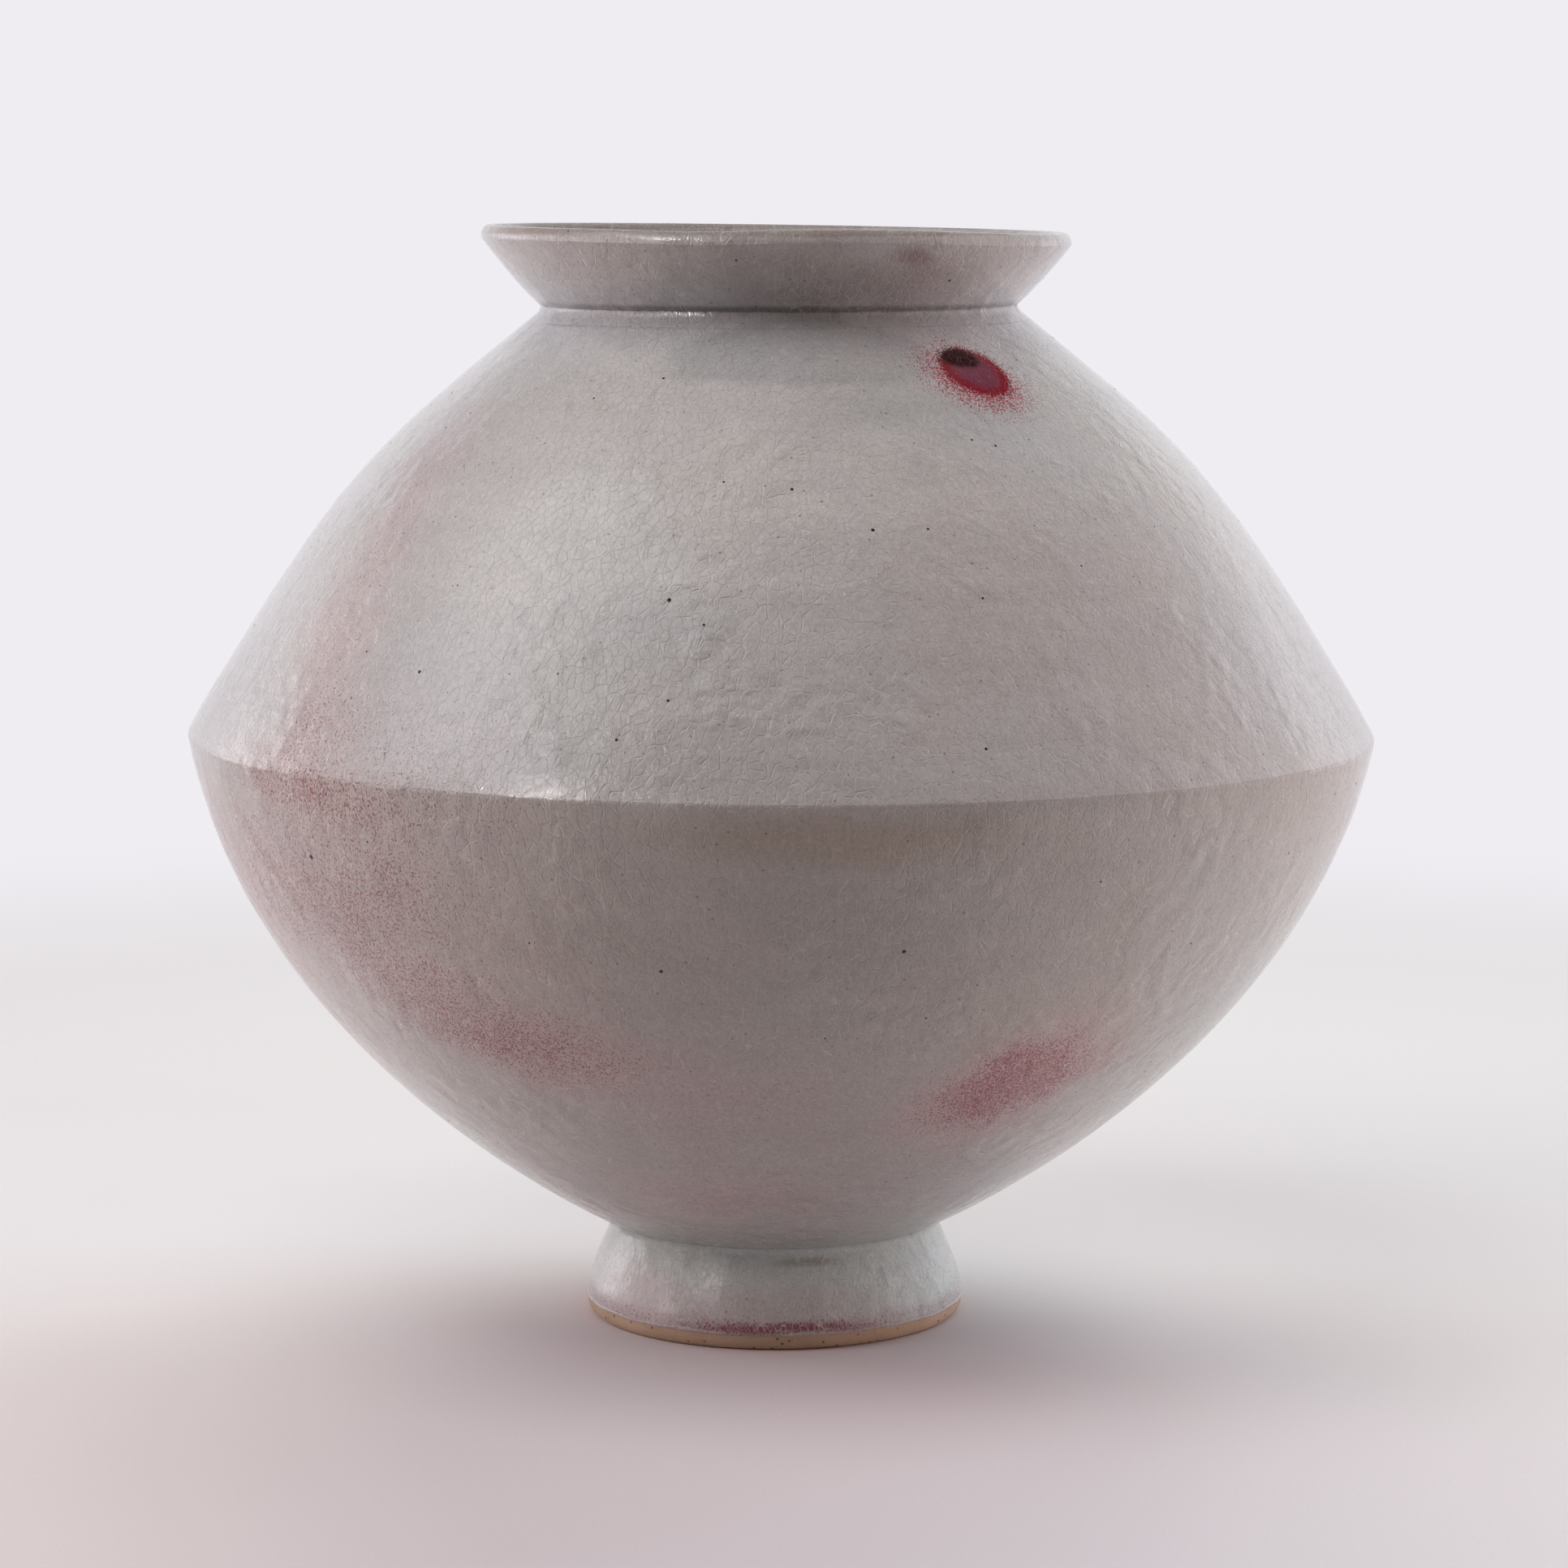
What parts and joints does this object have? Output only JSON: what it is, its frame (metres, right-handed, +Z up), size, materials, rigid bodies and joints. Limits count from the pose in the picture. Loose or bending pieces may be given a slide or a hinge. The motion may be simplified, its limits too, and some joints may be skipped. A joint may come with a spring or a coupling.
{
  "type": "spindle vase",
  "caption": "Wheel-thrown stoneware vase of two deep bowls joined rim to rim at a sharp waist, with a thrown foot ring, a narrow neck, a flared collar and a crackled pale glaze",
  "frame": {"origin": "centre of the foot ring's resting face, on the surface that the vase stands on", "axes": "+Z up along the axis of the wheel, -Y towards the side that the picture shows"},
  "size_m": [0.4, 0.4, 0.3693],
  "materials": {
    "foot_glaze": "glossy crackled glaze, pale grey-green, ending above a bare clay edge",
    "lower_bowl_glaze": "glossy crackled glaze, warm pale grey with rose copper speckle",
    "upper_bowl_glaze": "glossy crackled glaze, warm pale grey with a copper-red spot",
    "collar_glaze": "glossy crackled glaze, pale grey, thin and brownish on the lip",
    "stoneware_clay": "bare fired stoneware, matt and slightly gritty, with iron specks"
  },
  "bodies": {
    "root": {"foot_ring": "foot_glaze", "foot_seam": "stoneware_clay", "lower_bowl": "lower_bowl_glaze", "waist_seam": "stoneware_clay", "upper_bowl": "upper_bowl_glaze", "neck_seam": "stoneware_clay", "rim_collar": "collar_glaze"}
  },
  "joints": []
}
